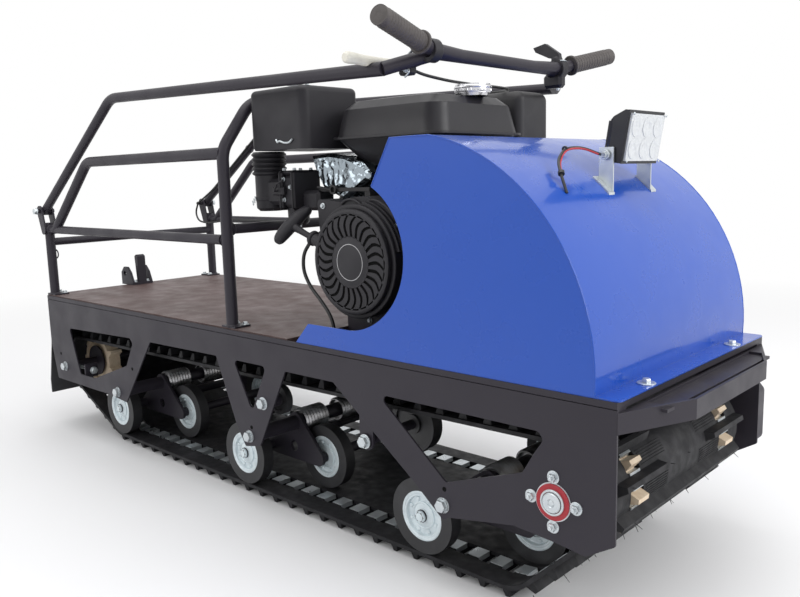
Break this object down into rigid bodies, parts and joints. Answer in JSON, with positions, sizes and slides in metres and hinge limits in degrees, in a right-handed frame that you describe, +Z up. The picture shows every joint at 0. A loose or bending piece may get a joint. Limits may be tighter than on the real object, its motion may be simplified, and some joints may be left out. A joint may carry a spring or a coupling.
{
  "type": "tracked snow towing vehicle",
  "caption": "Low motorised tracked snow tug with a windowed side frame, cargo deck and tube cage, engine under a curved hood, and a fold-over steering handle.",
  "frame": {"origin": "on the ground under the middle of the whole machine", "axes": "+X forward, +Y left, +Z up"},
  "size_m": [2.01, 0.7608, 1.032],
  "materials": {
    "black_plastic": "moulded plastic",
    "cable_black": "plastic sheath",
    "cast_metal": "bare casting",
    "chrome": "polished",
    "deck_brown": "film faced plywood",
    "engine_dark": "painted casting",
    "flap_rubber": "cut rubber sheet",
    "frame_black": "satin powder coat",
    "grip_rubber": "soft rubber",
    "hood_blue": "gloss paint",
    "lamp_black": "black housing",
    "lens_white": "frosted lens",
    "lever_grey": "painted casting",
    "seal_red": "rubber seal",
    "sprocket_tan": "cast polyurethane",
    "steel": "bare steel",
    "tank_black": "semi gloss paint",
    "track_rubber": "moulded rubber",
    "tyre_rubber": "smooth rubber",
    "zinc": "zinc plated"
  },
  "bodies": {
    "chassis": {"air_filter_box": "black_plastic", "bearing_housings": "zinc", "bearing_seals": "seal_red", "belt_cover": "black_plastic", "breather_hose": "cable_black", "cable_tail": "cable_black", "cage_rear": "frame_black", "cage_side_left": "frame_black", "cage_side_right": "frame_black", "chain_case": "frame_black", "cylinder_head": "cast_metal", "deck_board": "deck_brown", "deck_pan": "frame_black", "drive_axle": "steel", "drive_sprockets": "sprocket_tan", "engine_block": "engine_dark", "engine_rails": "frame_black", "fan_shroud": "black_plastic", "front_bumper": "frame_black", "front_hoop": "frame_black", "fuel_tank": "tank_black", "head_shield": "steel", "hood": "hood_blue", "intake": "black_plastic", "lamp_bracket": "zinc", "lamp_wire": "cable_black", "rear_axle": "frame_black", "rear_flap": "flap_rubber", "rear_sprockets": "sprocket_tan", "recoil_cover": "black_plastic", "road_hubs": "zinc", "road_tyres": "tyre_rubber", "rocker_front": "frame_black", "rocker_middle": "frame_black", "rocker_rear": "frame_black", "side_plate_left": "frame_black", "side_plate_right": "frame_black", "silencer": "engine_dark", "starter_grip": "black_plastic", "support_axle": "frame_black", "support_wheels": "black_plastic", "tank_cap": "chrome", "torsion_springs": "steel", "tow_hitch": "frame_black", "track": "track_rubber"},
    "handle": {"handle_arm_right": "frame_black", "handle_arm_left": "frame_black", "handlebar": "frame_black", "grips": "grip_rubber", "control_levers": "lever_grey", "handle_cable": "cable_black"},
    "lamp": {"lamp": "lamp_black", "lamp_lens": "lens_white"}
  },
  "joints": [
    {"name": "handle_fold", "type": "hinge", "parent": "chassis", "child": "handle", "pos_m": [-0.955, 0, 0.671], "axis": [0, -1, 0], "range_deg": [0, 155]},
    {"name": "lamp_tilt", "type": "hinge", "parent": "chassis", "child": "lamp", "pos_m": [0.78477, 0.03, 0.77609], "axis": [0, 1, 0], "range_deg": [-40, 40]}
  ]
}
